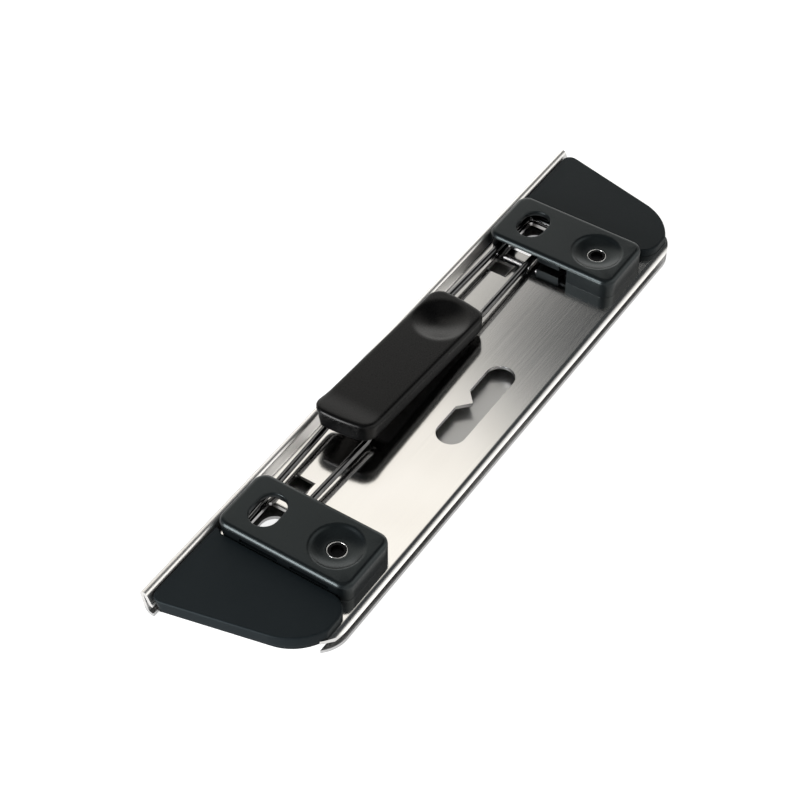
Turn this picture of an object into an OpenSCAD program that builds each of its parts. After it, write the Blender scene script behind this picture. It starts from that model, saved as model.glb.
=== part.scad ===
/* [Sheet] */
// Length of the folded sheet along its back edge
body_l = 125; // [122:0.5:140]
// Width from the back fold to the front edge
body_w = 29.3; // [29:0.1:31.5]
// Thickness of the sheet
sheet_t = 0.7; // [0.6:0.05:0.75]
// Clear height of the paper channel
channel_h = 1.5; // [1.4:0.1:2]
// How much shorter each end is at the front than at the back
end_slant = 4.5; // [3:0.5:6]
// Radius of the front corners
corner_r = 14; // [12:0.5:15]
// Height of the back lip above the deck
lip_h = 2.1; // [1.8:0.1:2.4]

/* [Holes] */
// Distance between the two binder holes, and between the two punched holes
hole_spacing = 80; // [78:1:84]
// Distance from the back edge to the binder hole line
binder_inset = 7.7; // [7.6:0.1:8]
// Distance from the front edge to the punch line
punch_inset = 8.5; // [8.3:0.1:8.8]
// Distance from the edge of the paper to the punched hole
paper_margin = 12; // [11.8:0.1:12.2]
// Diameter of the punched hole
punch_d = 5.5; // [5:0.1:5.6]
// Length of a binder hole
binder_l = 7.8; // [7:0.1:8]
// Width of a binder hole
binder_w = 5.3; // [5:0.1:5.4]
// Length of the centre window
slot_l = 20.4; // [16:0.2:26]
// Width of the centre window
slot_w = 5.2; // [4.6:0.1:6]

/* [Housings] */
// Length of a housing along the sheet
housing_l = 12.6; // [12.4:0.1:13]
// Height of a housing above the deck
housing_h = 3.8; // [3.8:0.05:4.2]
// Diameter of the dimple over a punch
dimple_d = 8.6; // [7:0.1:9]
// Radius of the housing's upper edges
housing_r = 0.9; // [0.5:0.1:1]

/* [Levers] */
// Diameter of the bail wire
wire_d = 1.2; // [1.1:0.05:1.25]
// Distance between the two legs of a bail
leg_gap = 6.6; // [6.5:0.05:6.8]
// How far the grip goes down
grip_travel = 1.25; // [1.1:0.05:1.3]

/* [Grip] */
// Length of the grip along its back side
grip_l = 36.8; // [35:0.2:38]
// Width of the grip's top
grip_w = 11.2; // [10.6:0.1:11.4]
// Thickness of the grip
grip_h = 2.9; // [2.8:0.05:3.2]
// Angle by which the grip's far end stands higher than its scooped end
grip_tilt = 3.9; // [3.4:0.1:4.2]
// Diameter of the thumb scoop
scoop_d = 8.6; // [7:0.2:9]

/* [Caps] */
// Height of an end cap above the deck
cap_h = 1.6; // [1.3:0.1:1.8]
// Thickness of an end cap's end wall
cap_wall = 1.3; // [1.1:0.1:1.6]

/* [Hidden] */
$fn = 64;
HULL_FN = 32;

// Clearances
run_gap = 0.05;
part_gap = 0.15;
through = 1;
cut_over = 0.4;
overlap = 0.1;
skin = 0.001;

// Levels
deck_z = 2 * sheet_t + channel_h;
deck_under_z = deck_z - sheet_t;
function above_deck(h) = deck_z + h;

// Lines across the width
back_y = body_w / 2;
front_y = -body_w / 2;
binder_y = back_y - binder_inset;
punch_y = front_y + punch_inset;
stop_y = punch_y + paper_margin;
hole_x = hole_spacing / 2;

// Path of the folded sheet in the YZ plane, walked along its centre line from the front of the deck
roll_r = 1.3;
roll_angle = 50;
lip_bend_r = 0.5;
lip_angle = 68;
fold_r = 0.4;
wall_angle = -101;
heel_r = 1.0;
deck_mid_z = deck_z - sheet_t / 2;
lip_rise = lip_bend_r * (1 - cos(lip_angle)) + fold_r * (1 - cos(lip_angle));
lip_straight = (lip_h - lip_rise) / sin(lip_angle);
lip_reach = (lip_bend_r + fold_r) * sin(lip_angle) + lip_straight * cos(lip_angle);
lip_start_y = back_y - sheet_t / 2 - fold_r - lip_reach;
roll_start_y = front_y + sheet_t / 2 * sin(roll_angle);
roll_end_y = roll_start_y + roll_r * sin(roll_angle);
fold_mid_z = deck_mid_z + lip_h - fold_r;
wall_top_z = fold_mid_z + fold_r * cos(wall_angle);
heel_top_z = sheet_t / 2 + heel_r * (1 + cos(wall_angle));
wall_l = (wall_top_z - heel_top_z) / -sin(wall_angle);
FOLD_STEPS = 8;

// Sheet outline in plan
end_x = body_l / 2;
end_len = sqrt(end_slant * end_slant + body_w * body_w);
end_normal = [body_w / end_len, -end_slant / end_len];
end_angle = atan2(end_normal[1], end_normal[0]);
CORNER_STEPS = 24;
corner_y = front_y + corner_r;
corner_x = end_x - (end_slant * (back_y - corner_y) / body_w) - corner_r / end_normal[0];
hem_y = lip_start_y;

// End cap
cap_gap = 0.1;
cap_bevel = 0.8;
cap_lap = 0.2;
cap_overhang = 1.6;
cap_corner_r = 3.5;
sheet_inset = cap_overhang + cap_wall + part_gap / 2;
rim_w = 1.95;
rim_y = front_y + rim_w;
cap_x0 = hole_x + housing_l / 2 + cap_gap;
cap_x1 = end_x + through;
cap_front_y = roll_end_y + cap_gap;
cap_back_y = hem_y - cap_gap;

// Windows in the sheet
window_gap = 0.1;
window_l = binder_l + 2 * window_gap;
window_w = binder_w + 2 * window_gap;
window_r = 0.5;
stop_w = 3.4;
stop_window_w = 3.2;
stop_x = 30.6;
stop_foot_gap = 0.15;
pointer_l = 4.4;
pointer_h = 2;
slot_offset = 0.1;

// Housing
housing_wall = 1.0;
front_wall = 1.1;
back_wall = 0.6;
roof_t = 0.9;
housing_x0 = hole_x - housing_l / 2;
housing_x1 = hole_x + housing_l / 2;
housing_back_y = hem_y - cap_gap;
housing_setback = 2.7;
housing_front_y = front_y + housing_setback;
housing_lean = 0.5;
housing_foot = 0.3;
housing_corner_r = 2.2;
roof_under_h = housing_h - roof_t;
mouth_reach = 2.45;
mouth_front_y = punch_y + mouth_reach;
boss_wall = 0.35;
boss_r = dimple_d / 2 + boss_wall;
dimple_depth = 0.95;
dimple_floor_h = housing_h - dimple_depth;
bush_l = 0.45;
boss_under_h = dimple_floor_h - bush_l;
slit_h = 0.55;
slit_gap = 1.2;
slit_l = 7.2;
rib_t = 1.0;
rib_half_l = 0.9;
rib_under_h = 0.9;
rib_front_y = 1.2;

// Bail
leg_bend_r = 1.0;
bar_gap = 0.25;
bar_x = housing_x1 - housing_wall - bar_gap - wire_d / 2;
bar_h = 0.7;
hook_x = 14.2;
hook_l = 1.0;
hook_rise = 1.25;
hook_slack = 0.4;
hook_play = wire_d / 2 + hook_slack;
knee_gap = 0.8;
knee_swell = 0.02;
pivot_inset = 1.9;
pivot_x = housing_x0 + pivot_inset;
pin_d = 1.0;
pin_bite = 0.3;
bail_pin_back = 0.4;
bail_pin_front = 1.2;
bail_front_y = binder_y - leg_gap / 2 - wire_d / 2;
bail_pin_y0 = bail_front_y - bail_pin_front;
bail_pin_y1 = housing_back_y - bail_pin_back;

// Return spring
spring_wire = 0.3;
coil_gap = 0.1;
spring_r = pin_d / 2 + coil_gap + spring_wire / 2;
coil_r = spring_r + spring_wire / 2;
spring_turns = 3;
spring_pitch = 0.76;
spring_x0 = hole_x - spring_turns * spring_pitch / 2;
spring_end_x = spring_x0 + spring_turns * spring_pitch;
spring_leg = 2.0;
spring_leg_over = 0.1;
spring_leg_rise = 0.25;
spring_swing = 0.3;
SPRING_STEPS = 8;
SPRING_SIDES = 6;
RING_REF = [1, 0, 0.01];
echo(spring_gap = spring_pitch - spring_wire);

// Rocker, whose pivot lies about midway between the punch and the bail
rocker_shift = 0.275;
rocker_y = (punch_y + punch_d / 2 + bail_front_y) / 2 - rocker_shift;
rocker_t = 0.6;
rocker_h = 1.65;
hub_r = 1.0;
hub_gap = 0.2;
hub_x0 = pivot_x + rib_half_l + hub_gap;
hub_out = hole_x - hub_x0;
hub_in = 1.6;
finger_gap = 0.3;
finger_x1 = housing_x1 - housing_wall - finger_gap;
hub_ends = [hub_x0, hole_x - hub_in, hole_x + hub_in, finger_x1];
rocker_pin_in = 1.2;
rocker_pin_out = 0.35;
rocker_pin_x0 = housing_x0 + rocker_pin_in;
rocker_pin_x1 = housing_x1 - rocker_pin_out;
rear_finger_w = 1.05;
bump_offset = 1.85;
bump_y = binder_y - bump_offset;
bump_w = 1.0;
bump_gap = 0.04;
rear_finger_t = 0.3;
rear_finger_rise = 0.2;
web_gap = 0.3;
web_w = 1.65;
web_y1 = rocker_y - coil_r - web_gap;
web_y0 = web_y1 - web_w;
fork_slot = 2.3;
fork_w = 5.0;
fork_overrun = 0.05;
fork_tip_y = punch_y - fork_overrun;

// Rib in the housing for the spring's rear leg, between the coil and the bail
spring_rib_l = 0.8;
SPRING_RIB_SHARE = 5 / 13;
coil_back_y = rocker_y + coil_r;
spring_rib_y = coil_back_y + (bail_front_y - coil_back_y) * SPRING_RIB_SHARE;

// Punch
fork_gap = 0.03;
piston_top_h = rocker_h - rocker_t / 2 - fork_gap;
neck_d = 2.0;
head_d = 2.9;
head_h0 = 2.2;
head_sink = 0.05;
head_h1 = dimple_floor_h - head_sink;
head_bore_d = 2.1;
head_bore_depth = 0.5;
bush_d = 3.9;
bush_step = 0.05;
tip_notch = 0.35;
tip_land = 0.2;
tip_root_d = 2;

// Die
die_gap = 0.4;
die_d = 7.0;
die_flange_d = 9.4;
die_top_d = 7.4;

// Grip, whose height h at a place x is measured above the deck
grip_x = -2.4;
grip_taper = 1.3;
grip_front_l = grip_l - grip_taper;
grip_bow = 0.6;
grip_corner_r = 2.2;
grip_bow_r = 3;
grip_low_gap = 0.16;
grip_low_x = grip_x + grip_l / 2 + grip_bow;
grip_mid_h = grip_travel + grip_low_gap + grip_low_x * tan(grip_tilt);
grip_back_lean = 1.2;
flare_l = 6;
flare_h = 0.5;
scoop_x = 9.4;
scoop_depth = 1.15;
SCOOP_FN = 96;
groove_w = wire_d + 2 * part_gap;
groove_top = hook_rise + wire_d / 2 + part_gap;
keeper_t = 0.5;
keeper_end_gap = 0.7;
keeper_l = 2 * (hook_x - wire_d / 2 - keeper_end_gap);
keeper_w = 8.4;
keeper_r = 1;
keeper_gap = 0.05;

// Hooks: the grip's tilt lifts those of the left bail, whose legs have a knee outside the housing
function hook_h(side) = grip_mid_h + hook_rise * cos(grip_tilt) - side * hook_x * tan(grip_tilt);
bail_slope = atan((hook_h(1) - bar_h) / (bar_x - hook_x));
pivot_h = bar_h + (bar_x - pivot_x) * tan(bail_slope) + wire_d / 2 + pin_d / 2 - pin_bite;
knee_l = (bar_x - housing_x0 + knee_gap) / cos(bail_slope);
leg_l = (bar_x - hook_x) / cos(bail_slope);
hook_rise_left = hook_h(-1) - bar_h;
knee_run = (bar_x - hook_x) * cos(bail_slope) + hook_rise_left * sin(bail_slope) - knee_l;
knee_rise = hook_rise_left * cos(bail_slope) - (bar_x - hook_x) * sin(bail_slope);
knee_angle = atan2(knee_rise, knee_run);
leg_end_l = norm([knee_run, knee_rise]);

module on_side(side) {
    mirror([side < 0 ? 1 : 0, 0, 0]) children();
}

module along_x(x0, x1, r) {
    translate([x0, 0, 0]) rotate([0, 90, 0]) cylinder(r = r, h = x1 - x0);
}

module along_y(y0, y1, r) {
    translate([0, y1, 0]) rotate([90, 0, 0]) cylinder(r = r, h = y1 - y0);
}

module block(x, y, z) {
    translate([x[0], y[0], z[0]]) cube([x[1] - x[0], y[1] - y[0], z[1] - z[0]]);
}

module stadium(l, w) {
    r = w / 2;
    square([l - w, w], center = true);
    for (s = [-1, 1]) translate([s * (l / 2 - r), 0]) circle(r);
}

module rounded_rect(l, w, r) {
    square([l - 2 * r, w], center = true);
    square([l, w - 2 * r], center = true);
    for (i = [-1, 1], j = [-1, 1]) translate([i * (l / 2 - r), j * (w / 2 - r)]) circle(r);
}

// Points of an arc that starts at p with heading a and turns by t; a positive turn is to the left
function arc_points(p, a, r, t) = [
    for (i = [0 : FOLD_STEPS])
        let (b = a + t * i / FOLD_STEPS, s = sign(t))
        [p[0] + s * r * (sin(b) - sin(a)), p[1] - s * r * (cos(b) - cos(a)), b]
];

function last(v) = v[len(v) - 1];

// Each entry is a point of the sheet's centre line and the heading there
function sheet_path() =
    let (
        rim = arc_points([roll_start_y, deck_mid_z - roll_r * (1 - cos(roll_angle))],
                         roll_angle, roll_r, -roll_angle),
        bend = arc_points([lip_start_y, deck_mid_z], 0, lip_bend_r, lip_angle),
        b = last(bend),
        lip_top = [b[0] + lip_straight * cos(lip_angle), b[1] + lip_straight * sin(lip_angle)],
        fold = arc_points(lip_top, lip_angle, fold_r, wall_angle - lip_angle),
        f = last(fold),
        wall_end = [f[0] + wall_l * cos(wall_angle), f[1] + wall_l * sin(wall_angle)],
        heel = arc_points(wall_end, wall_angle, heel_r, -180 - wall_angle)
    )
    concat(rim, bend, fold, heel, [[front_y, sheet_t / 2, -180]]);

module sheet_section() {
    path = sheet_path();
    half = sheet_t / 2;
    left = [for (p = path) [p[0] - half * sin(p[2]), p[1] + half * cos(p[2])]];
    right = [for (i = [len(path) - 1 : -1 : 0])
        let (p = path[i]) [p[0] + half * sin(p[2]), p[1] - half * cos(p[2])]];
    polygon(concat(left, right));
}

// Plan of one half of the part, drawn inwards by inset along the end and the round corner
module half_plan(inset) {
    r = corner_r - inset;
    arc = [for (i = [0 : CORNER_STEPS])
        let (a = end_angle - (90 + end_angle) * i / CORNER_STEPS)
        [corner_x + r * cos(a), corner_y + r * sin(a)]];
    polygon(concat([[0, back_y], [end_x - inset / end_normal[0], back_y]], arc, [[0, front_y + inset]]));
}

module body_plan() {
    for (side = [-1, 1]) on_side(side) {
        intersection() {
            half_plan(sheet_inset);
            translate([0, front_y]) square([end_x, hem_y - front_y]);
        }
        translate([0, front_y]) square([corner_x, body_w]);
        translate([0, hem_y]) square([end_x, back_y - hem_y]);
        // The front rim keeps the full corner outline
        intersection() {
            half_plan(0);
            translate([0, front_y]) square([end_x, rim_y - front_y]);
        }
    }
}

module pointer_slot() {
    y = punch_y - slot_offset;
    difference() {
        translate([0, y]) stadium(slot_l, slot_w);
        translate([0, y + slot_w / 2]) polygon([
            [-pointer_l / 2, through], [-pointer_l / 2, 0], [0, -pointer_h], [pointer_l / 2, 0],
            [pointer_l / 2, through]
        ]);
    }
}

module deck_cut() {
    translate([0, 0, deck_under_z - cut_over]) linear_extrude(sheet_t + 2 * cut_over) children();
}

module folded_body() {
    color("silver") union() {
        difference() {
            intersection() {
                rotate([90, 0, 90]) linear_extrude(body_l, center = true) sheet_section();
                linear_extrude(above_deck(lip_h) + through) body_plan();
            }
            deck_cut() pointer_slot();
            for (side = [-1, 1]) on_side(side) {
                deck_cut() translate([hole_x, binder_y]) rounded_rect(window_l, window_w, window_r);
                deck_cut() translate([stop_x, stop_y + sheet_t + stop_window_w / 2])
                    rounded_rect(stop_w, stop_window_w, window_r);
                deck_cut() translate([hole_x, punch_y]) circle(d = punch_d + 2 * run_gap);
                translate([hole_x, punch_y, -through]) cylinder(d = die_d, h = sheet_t + 2 * through);
                translate([0, 0, -through]) linear_extrude(sheet_t + 2 * through)
                    translate([hole_x, binder_y]) stadium(binder_l, binder_w);
            }
        }
        for (side = [-1, 1]) on_side(side)
            block([stop_x - stop_w / 2, stop_x + stop_w / 2], [stop_y, stop_y + sheet_t],
                  [sheet_t + stop_foot_gap, deck_z]);
    }
}

// Lid of an end cap before its sides are cut; its end and round corner lean in by the bevel
module cap_slab() {
    translate([corner_x, corner_y, deck_z])
        linear_extrude(cap_h, scale = (corner_r - cap_bevel) / corner_r)
            translate([-corner_x, -corner_y]) half_plan(0);
}

// End cap: a bevelled lid over the deck and a wall under its overhang
module end_cap() {
    lid_x = cap_x0 + cap_corner_r;
    lid_y = cap_front_y + cap_corner_r;
    top_z = above_deck(cap_h);
    lean = 1 / tan(lip_angle);
    side_y = cap_front_y - through;
    color([0.12, 0.13, 0.14]) union() {
        intersection() {
            cap_slab();
            union() {
                block([lid_x, cap_x1], [cap_front_y, back_y], [0, top_z]);
                block([cap_x0, lid_x], [lid_y, back_y], [0, top_z]);
                translate([lid_x, lid_y, 0]) cylinder(r = cap_corner_r, h = top_z);
            }
            // The back side leans out along the lip
            rotate([90, 0, 90]) linear_extrude(cap_x1) polygon([
                [side_y, 0], [cap_back_y, 0], [cap_back_y, deck_z],
                [cap_back_y + lean * (cap_h + through), top_z + through], [side_y, top_z + through]
            ]);
        }
        intersection() {
            linear_extrude(deck_z + cap_lap) difference() {
                half_plan(cap_overhang);
                half_plan(cap_overhang + cap_wall);
            }
            block([cap_x0, cap_x1], [rim_y + cap_gap, cap_back_y], [0, deck_z + cap_lap]);
        }
    }
}

// Outside of a housing, whose back side leans out over the lip
module housing_shell() {
    r = housing_corner_r;
    corner_y = [housing_front_y + r, housing_back_y - r];
    hull() {
        for (i = [-1, 1], j = [0, 1]) translate([hole_x + i * (housing_l / 2 - r), corner_y[j], 0]) {
            translate([0, 0, deck_z]) cylinder(r = r, h = housing_foot, $fn = HULL_FN);
            translate([0, j * housing_lean, above_deck(housing_h - housing_r)])
                rotate_extrude($fn = HULL_FN) intersection() {
                    translate([r - housing_r, 0]) circle(housing_r, $fn = HULL_FN);
                    square(r);
                }
        }
    }
}

module housing() {
    inner_x0 = housing_x0 + housing_wall;
    inner_x1 = housing_x1 - housing_wall;
    inner_y1 = housing_back_y - back_wall;
    roof_z = above_deck(roof_under_h);
    slit_z = above_deck(cap_h + slit_h / 2);
    color([0.1, 0.1, 0.11]) difference() {
        union() {
            difference() {
                housing_shell();
                block([inner_x0, inner_x1], [housing_front_y + front_wall, inner_y1], [0, roof_z]);
                block([housing_x0 - through, inner_x0 + through], [mouth_front_y, inner_y1], [0, roof_z]);
                for (s = [-1, 1])
                    translate([housing_x1, rocker_y + s * (slit_gap + slit_l / 2), slit_z])
                        cube([3 * housing_wall, slit_l, slit_h], center = true);
            }
            // Boss that carries the stem bush
            intersection() {
                translate([hole_x, punch_y, above_deck(boss_under_h)])
                    cylinder(r = boss_r, h = roof_under_h - boss_under_h + overlap);
                block([inner_x0 - overlap, inner_x1 + overlap], [housing_front_y, rocker_y - hub_r],
                      [0, above_deck(housing_h)]);
            }
            // Rib that carries the front ends of both pins
            block([pivot_x - rib_half_l, pivot_x + rib_half_l],
                  [rocker_y - rib_front_y, bail_pin_y0 + rib_t],
                  [above_deck(rib_under_h), roof_z + overlap]);
            // Rib that the rear leg of the spring bears on
            block([spring_end_x - spring_rib_l / 2, spring_end_x + spring_rib_l / 2],
                  [spring_rib_y - spring_rib_l / 2, spring_rib_y + spring_rib_l / 2],
                  [above_deck(rocker_h - coil_r + spring_wire + spring_swing), roof_z + overlap]);
        }
        translate([hole_x, binder_y, roof_z - cut_over])
            linear_extrude(roof_t + through) stadium(binder_l, binder_w);
        translate([hole_x, punch_y, above_deck(dimple_floor_h)])
            cylinder(d1 = bush_d + 2 * bush_step, d2 = dimple_d, h = dimple_depth + skin);
        translate([hole_x, punch_y, above_deck(boss_under_h) - cut_over])
            cylinder(d = bush_d, h = roof_t + cut_over);
        translate([pivot_x, 0, above_deck(pivot_h)])
            along_y(bail_pin_y0 - run_gap, bail_pin_y1 + run_gap, pin_d / 2 + run_gap);
        translate([0, rocker_y, above_deck(rocker_h)])
            along_x(rocker_pin_x0, rocker_pin_x1, pin_d / 2);
    }
}

// Arc of wire from the X axis towards +Y, round a centre at [0, r]
module wire_arc(r, angle) {
    translate([0, r, 0]) rotate([0, 0, -90]) rotate_extrude(angle = angle)
        translate([r, 0]) circle(d = wire_d);
}

// End of a leg: the bend and the hook, with the leg coming along -X to the bend's start
module leg_hook() {
    mirror([1, 0, 0]) mirror([0, 1, 0]) wire_arc(leg_bend_r, 90);
    translate([-leg_bend_r, 0, 0]) along_y(-leg_bend_r - hook_l, -leg_bend_r, wire_d / 2);
}

// Half of a bail, drawn flat with its cross bar on the Y axis and its legs towards -X
module bail_half(knee) {
    r = wire_d / 2;
    leg_y = leg_gap / 2;
    along_y(0, leg_y - leg_bend_r, r);
    translate([-leg_bend_r, leg_y, 0]) mirror([0, 1, 0]) wire_arc(leg_bend_r, 90);
    translate([0, leg_y, 0]) {
        if (knee > 0) {
            along_x(-knee_l, -leg_bend_r, r);
            translate([-knee_l, 0, 0]) rotate([0, 90 + knee / 2, 0]) sphere(r + knee_swell);
            translate([-knee_l, 0, 0]) rotate([0, knee, 0]) {
                along_x(leg_bend_r - leg_end_l, 0, r);
                translate([leg_bend_r - leg_end_l, 0, 0]) leg_hook();
            }
        } else {
            along_x(leg_bend_r - leg_l, -leg_bend_r, r);
            translate([leg_bend_r - leg_l, 0, 0]) leg_hook();
        }
    }
}

module bail(knee) {
    color("gainsboro") translate([bar_x, binder_y, above_deck(bar_h)]) rotate([0, bail_slope, 0]) {
        bail_half(knee);
        mirror([0, 1, 0]) bail_half(knee);
    }
}

module bail_pin() {
    color("silver") translate([pivot_x, 0, above_deck(pivot_h)])
        along_y(bail_pin_y0, bail_pin_y1, pin_d / 2);
}

module rocker() {
    under_z = above_deck(rocker_h - rocker_t / 2);
    top_z = under_z + rocker_t;
    web_x = [hole_x - hub_out, hole_x + hub_out];
    finger_x = [hub_ends[3] - rear_finger_w, hub_ends[3]];
    bump_y1 = bump_y + bump_w / 2;
    color("lightslategray") difference() {
        union() {
            for (i = [0, 2]) {
                translate([0, rocker_y, above_deck(rocker_h)])
                    along_x(hub_ends[i], hub_ends[i + 1], hub_r);
                block([hub_ends[i], min(hub_ends[i + 1], web_x[1])], [web_y1 - overlap, rocker_y],
                      [under_z, top_z]);
            }
            block(web_x, [web_y0, web_y1], [under_z, top_z]);
            block([hole_x - fork_w / 2, hole_x + fork_w / 2], [fork_tip_y, web_y0 + overlap],
                  [under_z, top_z]);
            block(finger_x, [rocker_y, bump_y1], [under_z + rear_finger_t, top_z + rear_finger_rise]);
            block(finger_x, [bump_y - bump_w / 2, bump_y1], [under_z + bump_gap, top_z]);
        }
        block([hole_x - fork_slot / 2, hole_x + fork_slot / 2],
              [fork_tip_y - through, punch_y + fork_slot / 2], [under_z - through, top_z + through]);
        translate([0, rocker_y, above_deck(rocker_h)])
            along_x(hub_ends[0] - through, hub_ends[3] + through, pin_d / 2 + run_gap);
    }
}

module rocker_pin() {
    color("silver") translate([0, rocker_y, above_deck(rocker_h)])
        along_x(rocker_pin_x0, rocker_pin_x1, pin_d / 2);
}

// Points of the spring wire: the front leg, the coil from its lowest point, and the rear leg
function spring_points() =
    let (
        z = above_deck(rocker_h),
        n = spring_turns * SPRING_STEPS,
        coil = [for (i = [0 : n])
            let (a = -90 + 360 * i / SPRING_STEPS)
            [spring_x0 + spring_pitch * i / SPRING_STEPS,
             rocker_y + spring_r * cos(a),
             z + spring_r * sin(a)]],
        front = [spring_x0, rocker_y - spring_leg, coil[0][2] + spring_leg_rise],
        rear = [last(coil)[0], spring_rib_y + spring_leg_over, last(coil)[2]]
    )
    concat([front], coil, [rear]);

function unit(v) = v / norm(v);

// Ring of points round p, in the plane that the wire's heading h crosses at right angles
function wire_ring(p, h) =
    let (u = unit(cross(h, RING_REF)), v = cross(h, u))
    [for (k = [0 : SPRING_SIDES - 1])
        let (a = 360 * k / SPRING_SIDES) p + spring_wire / 2 * (u * cos(a) + v * sin(a))];

module return_spring() {
    pts = spring_points();
    n = len(pts);
    rings = [for (i = [0 : n - 1]) wire_ring(pts[i], unit(pts[min(i + 1, n - 1)] - pts[max(i - 1, 0)]))];
    m = SPRING_SIDES;
    sides = [for (i = [0 : n - 2], k = [0 : m - 1], half = [0, 1])
        let (a = i * m + k, b = i * m + (k + 1) % m)
        half == 0 ? [a, b, b + m] : [a, b + m, a + m]];
    start = [for (k = [1 : m - 2]) [0, k + 1, k]];
    end = [for (k = [1 : m - 2]) [(n - 1) * m, (n - 1) * m + k, (n - 1) * m + k + 1]];
    color("darkgray") polyhedron(points = [for (r = rings, p = r) p], faces = concat(start, sides, end));
}

module punch() {
    color("dimgray") translate([hole_x, punch_y, 0]) difference() {
        union() {
            translate([0, 0, deck_under_z]) cylinder(d = punch_d, h = sheet_t + piston_top_h);
            translate([0, 0, above_deck(piston_top_h)])
                cylinder(d = neck_d, h = head_h0 - piston_top_h + overlap);
            translate([0, 0, above_deck(head_h0)]) cylinder(d = head_d, h = head_h1 - head_h0);
        }
        // The cutting edge is hollow ground, so its rim meets the paper first
        translate([0, 0, deck_under_z - skin])
            cylinder(d1 = punch_d - 2 * tip_land, d2 = tip_root_d, h = tip_notch);
        translate([0, 0, above_deck(head_h1 - head_bore_depth)]) cylinder(d = head_bore_d, h = through);
    }
}

module stem_bush() {
    color("gainsboro") translate([hole_x, punch_y, above_deck(boss_under_h)]) difference() {
        cylinder(d = bush_d, h = dimple_floor_h - boss_under_h);
        translate([0, 0, -through]) cylinder(d = head_d + 2 * run_gap, h = 3 * through);
    }
}

module die_bush() {
    top_z = deck_under_z - die_gap;
    color("slategray") translate([hole_x, punch_y, 0]) difference() {
        union() {
            cylinder(d = die_d, h = top_z);
            translate([0, 0, sheet_t]) cylinder(d1 = die_flange_d, d2 = die_top_d, h = top_z - sheet_t);
        }
        translate([0, 0, -through]) cylinder(d = punch_d + 2 * run_gap, h = top_z + 2 * through);
    }
}

// Plan of the grip: a little shorter at the front, with round corners and bowed ends
module grip_plan() {
    r = grip_corner_r;
    hull() {
        for (s = [-1, 1]) translate([grip_x, 0]) {
            translate([s * (grip_l / 2 - r), grip_w / 2 - r]) circle(r, $fn = HULL_FN);
            translate([s * (grip_front_l / 2 - r), r - grip_w / 2]) circle(r, $fn = HULL_FN);
            translate([s * (grip_l / 2 + grip_bow - grip_bow_r), 0]) circle(grip_bow_r, $fn = HULL_FN);
        }
    }
}

// Puts what is drawn on the grip's underside at the grip's height and tilt
module on_grip() {
    translate([0, binder_y, above_deck(grip_mid_h)]) rotate([0, grip_tilt, 0]) children();
}

module grip() {
    scoop_r = (scoop_d * scoop_d / 4 + scoop_depth * scoop_depth) / (2 * scoop_depth);
    end_x0 = grip_x - grip_l / 2 - grip_bow;
    end_x1 = grip_x + grip_l / 2 + grip_bow;
    half_w = grip_w / 2;
    top = grip_h + flare_h;
    color([0.07, 0.07, 0.08]) on_grip() difference() {
        intersection() {
            linear_extrude(top) grip_plan();
            // The top turns up towards the high end
            rotate([90, 0, 0]) linear_extrude(grip_w + 2 * through, center = true) polygon([
                [end_x0 - through, 0], [end_x1 + through, 0], [end_x1 + through, grip_h],
                [end_x0 + flare_l, grip_h], [end_x0 + flare_l / 2, grip_h + flare_h / 4],
                [end_x0, top], [end_x0 - through, top]
            ]);
            // The back side leans out over the lip
            rotate([90, 0, 90]) linear_extrude(2 * grip_l, center = true) polygon([
                [-half_w, 0], [half_w - grip_back_lean, 0], [half_w, grip_h], [half_w, top], [-half_w, top]
            ]);
        }
        translate([scoop_x, 0, grip_h - scoop_depth + scoop_r]) rotate([90, 0, 0])
            sphere(scoop_r, $fn = SCOOP_FN);
        for (side = [-1, 1]) on_side(side) {
            for (s = [-1, 1])
                block([hook_x - hook_play, grip_l],
                      [s * leg_gap / 2 - groove_w / 2, s * leg_gap / 2 + groove_w / 2],
                      [-through, groove_top]);
            block([hook_x - hook_play, hook_x + hook_play], [-leg_gap / 2, leg_gap / 2],
                  [-through, groove_top]);
        }
        translate([0, 0, -through]) linear_extrude(through + keeper_t)
            rounded_rect(keeper_l + 2 * keeper_gap, keeper_w + 2 * keeper_gap, keeper_r);
    }
}

module grip_keeper() {
    color("dimgray") on_grip() linear_extrude(keeper_t) rounded_rect(keeper_l, keeper_w, keeper_r);
}

folded_body();
on_side(-1) end_cap();  // end_cap_left
on_side(1) end_cap();  // end_cap_right
on_side(-1) housing();  // housing_left
on_side(1) housing();  // housing_right
on_side(-1) bail(knee_angle);  // bail_left
on_side(1) bail(0);  // bail_right
on_side(-1) bail_pin();  // bail_pin_left
on_side(1) bail_pin();  // bail_pin_right
on_side(-1) rocker();  // rocker_left
on_side(1) rocker();  // rocker_right
on_side(-1) rocker_pin();  // rocker_pin_left
on_side(1) rocker_pin();  // rocker_pin_right
on_side(-1) return_spring();  // return_spring_left
on_side(1) return_spring();  // return_spring_right
on_side(-1) punch();  // punch_left
on_side(1) punch();  // punch_right
on_side(-1) stem_bush();  // stem_bush_left
on_side(1) stem_bush();  // stem_bush_right
on_side(-1) die_bush();  // die_bush_left
on_side(1) die_bush();  // die_bush_right
grip();
grip_keeper();
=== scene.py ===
import math

import bmesh
import bpy
from mathutils import Matrix, Vector
from mathutils.geometry import delaunay_2d_cdt

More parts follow.
